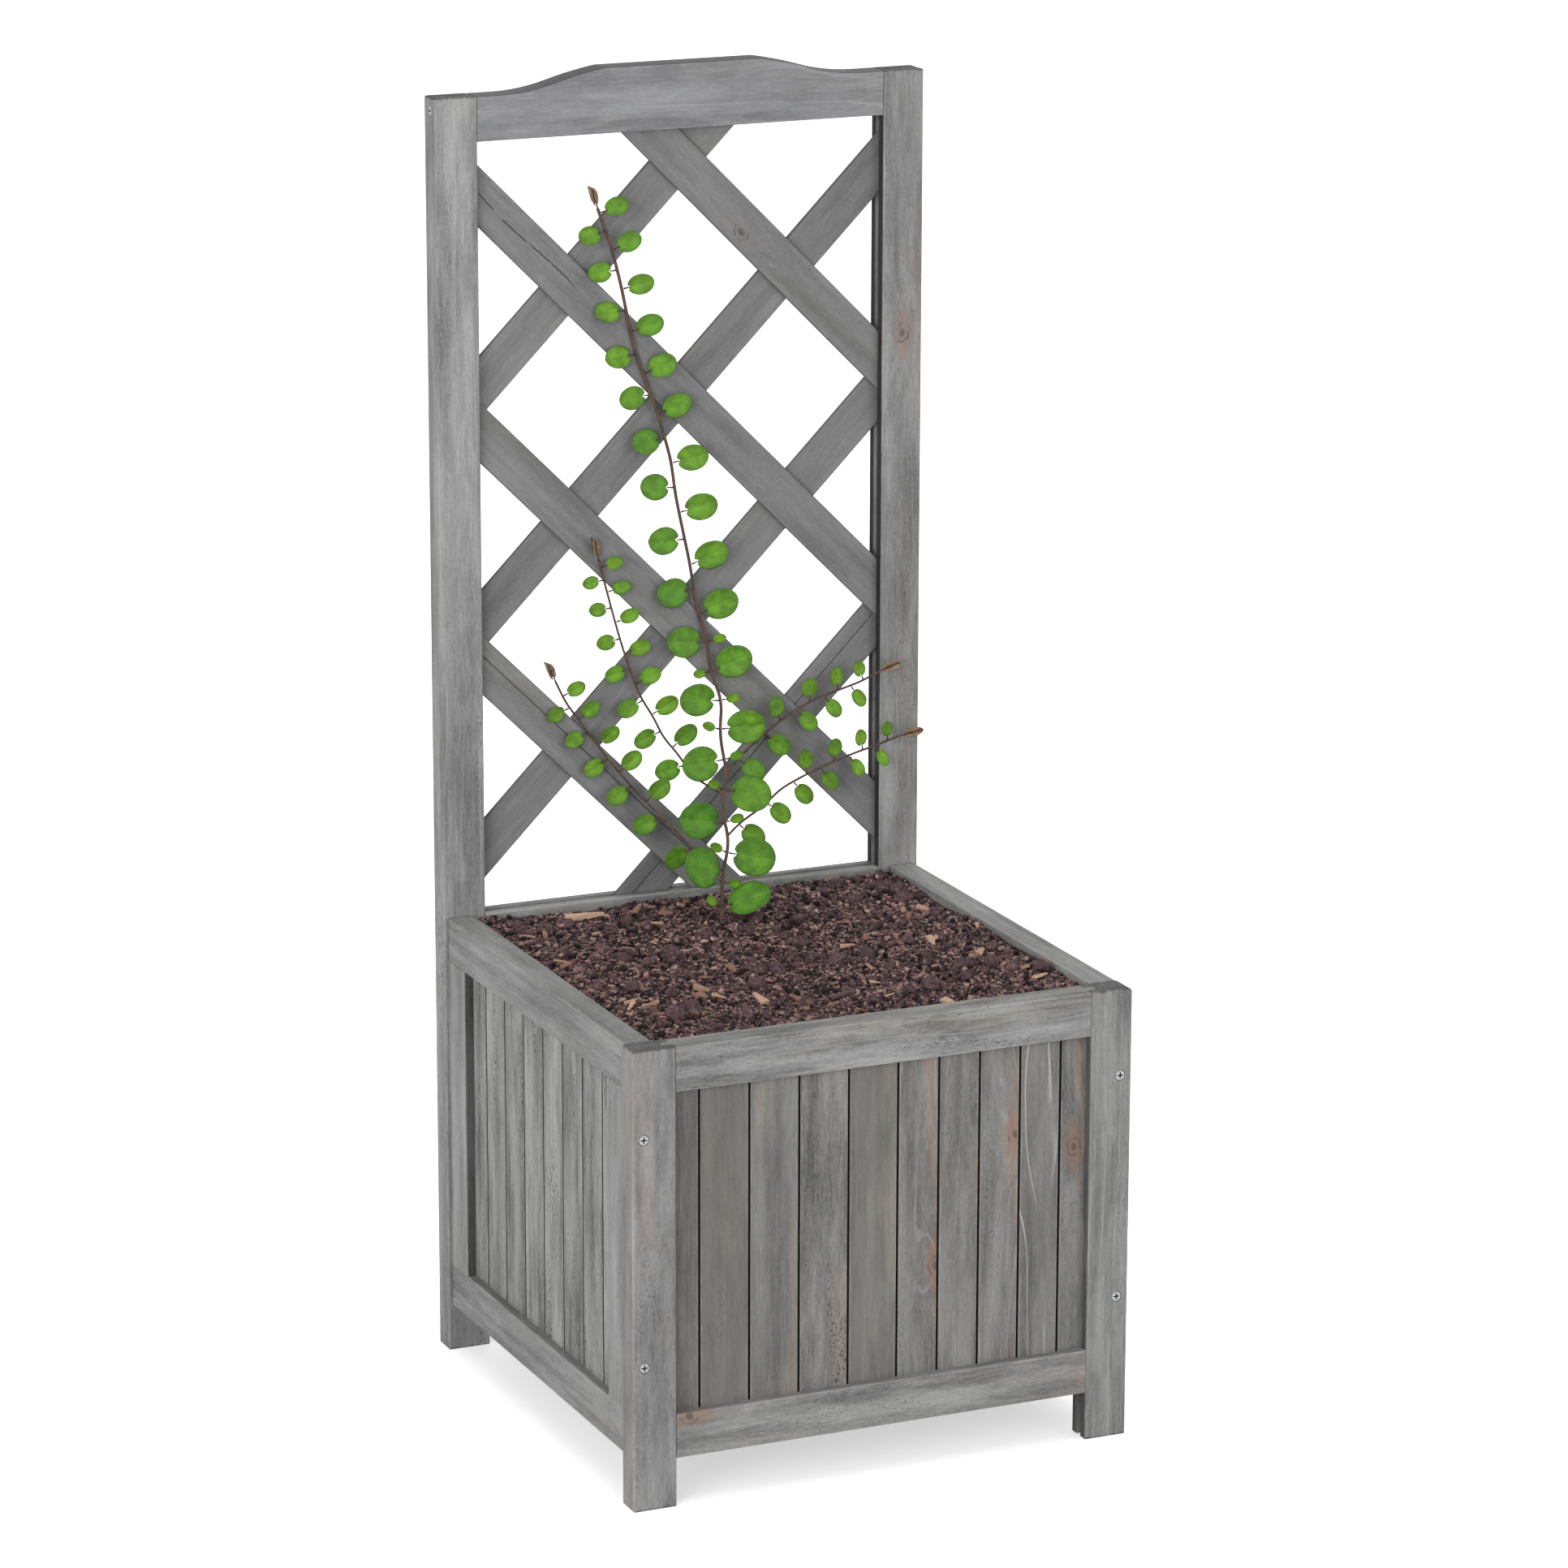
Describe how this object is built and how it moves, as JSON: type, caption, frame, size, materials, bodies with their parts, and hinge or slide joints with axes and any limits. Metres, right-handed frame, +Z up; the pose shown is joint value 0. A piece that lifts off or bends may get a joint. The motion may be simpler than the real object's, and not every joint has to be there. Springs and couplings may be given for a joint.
{
  "type": "planter with trellis",
  "caption": "Square wooden planter box on short post feet, its rear posts rising into an arched trellis with a diagonal lattice, filled with soil and a young climber.",
  "frame": {"origin": "on the floor, under the middle of the planter's footprint", "axes": "+Z up, +Y towards the trellis at the back, +X to the viewer's right"},
  "size_m": [0.4, 0.393, 0.9955],
  "materials": {
    "frame_wood": "grey stain, planed softwood with soft edge wear",
    "front_slat_wood": "grey-green stain, planed softwood with worn patches",
    "lattice_wood": "dark grey stain, planed softwood",
    "inner_wood": "grey stain, sawn softwood",
    "zinc_screw": "dull zinc plate",
    "potting_soil": "matte crumbled soil with bark splinters",
    "vine_stem": "thin reddish-brown bark",
    "vine_leaf": "soft green leaf with pale veins"
  },
  "bodies": {
    "root": {"back_bottom_rail": "frame_wood", "back_slats": "inner_wood", "cleat_screws": "zinc_screw", "floor_boards": "inner_wood", "floor_cleats": "inner_wood", "front_bottom_rail": "frame_wood", "front_left_post": "frame_wood", "front_right_post": "frame_wood", "front_slat_01": "front_slat_wood", "front_slat_02": "front_slat_wood", "front_slat_03": "front_slat_wood", "front_slat_04": "front_slat_wood", "front_slat_05": "front_slat_wood", "front_slat_06": "front_slat_wood", "front_slat_07": "front_slat_wood", "front_slat_08": "front_slat_wood", "front_slat_09": "front_slat_wood", "front_slat_10": "front_slat_wood", "front_top_rail": "frame_wood", "header_screws": "zinc_screw", "lath_back_1": "lattice_wood", "lath_back_2": "lattice_wood", "lath_back_3": "lattice_wood", "lath_back_4": "lattice_wood", "lath_front_1": "lattice_wood", "lath_front_2": "lattice_wood", "lath_front_3": "lattice_wood", "lath_front_4": "lattice_wood", "left_bottom_rail": "frame_wood", "left_front_stile": "frame_wood", "left_rear_stile": "frame_wood", "left_slat_1": "frame_wood", "left_slat_2": "frame_wood", "left_slat_3": "frame_wood", "left_slat_4": "frame_wood", "left_slat_5": "frame_wood", "left_slat_6": "frame_wood", "left_slat_7": "frame_wood", "left_slat_8": "frame_wood", "left_top_rail": "frame_wood", "left_trellis_post": "frame_wood", "panel_screws": "zinc_screw", "right_bottom_rail": "frame_wood", "right_front_stile": "frame_wood", "right_rear_stile": "frame_wood", "right_slat_1": "frame_wood", "right_slat_2": "frame_wood", "right_slat_3": "frame_wood", "right_slat_4": "frame_wood", "right_slat_5": "frame_wood", "right_slat_6": "frame_wood", "right_slat_7": "frame_wood", "right_slat_8": "frame_wood", "right_top_rail": "frame_wood", "right_trellis_post": "frame_wood", "soil": "potting_soil", "trellis_header": "frame_wood", "trellis_mid_rail": "frame_wood", "vine_leaves": "vine_leaf", "vine_stems": "vine_stem"}
  },
  "joints": []
}
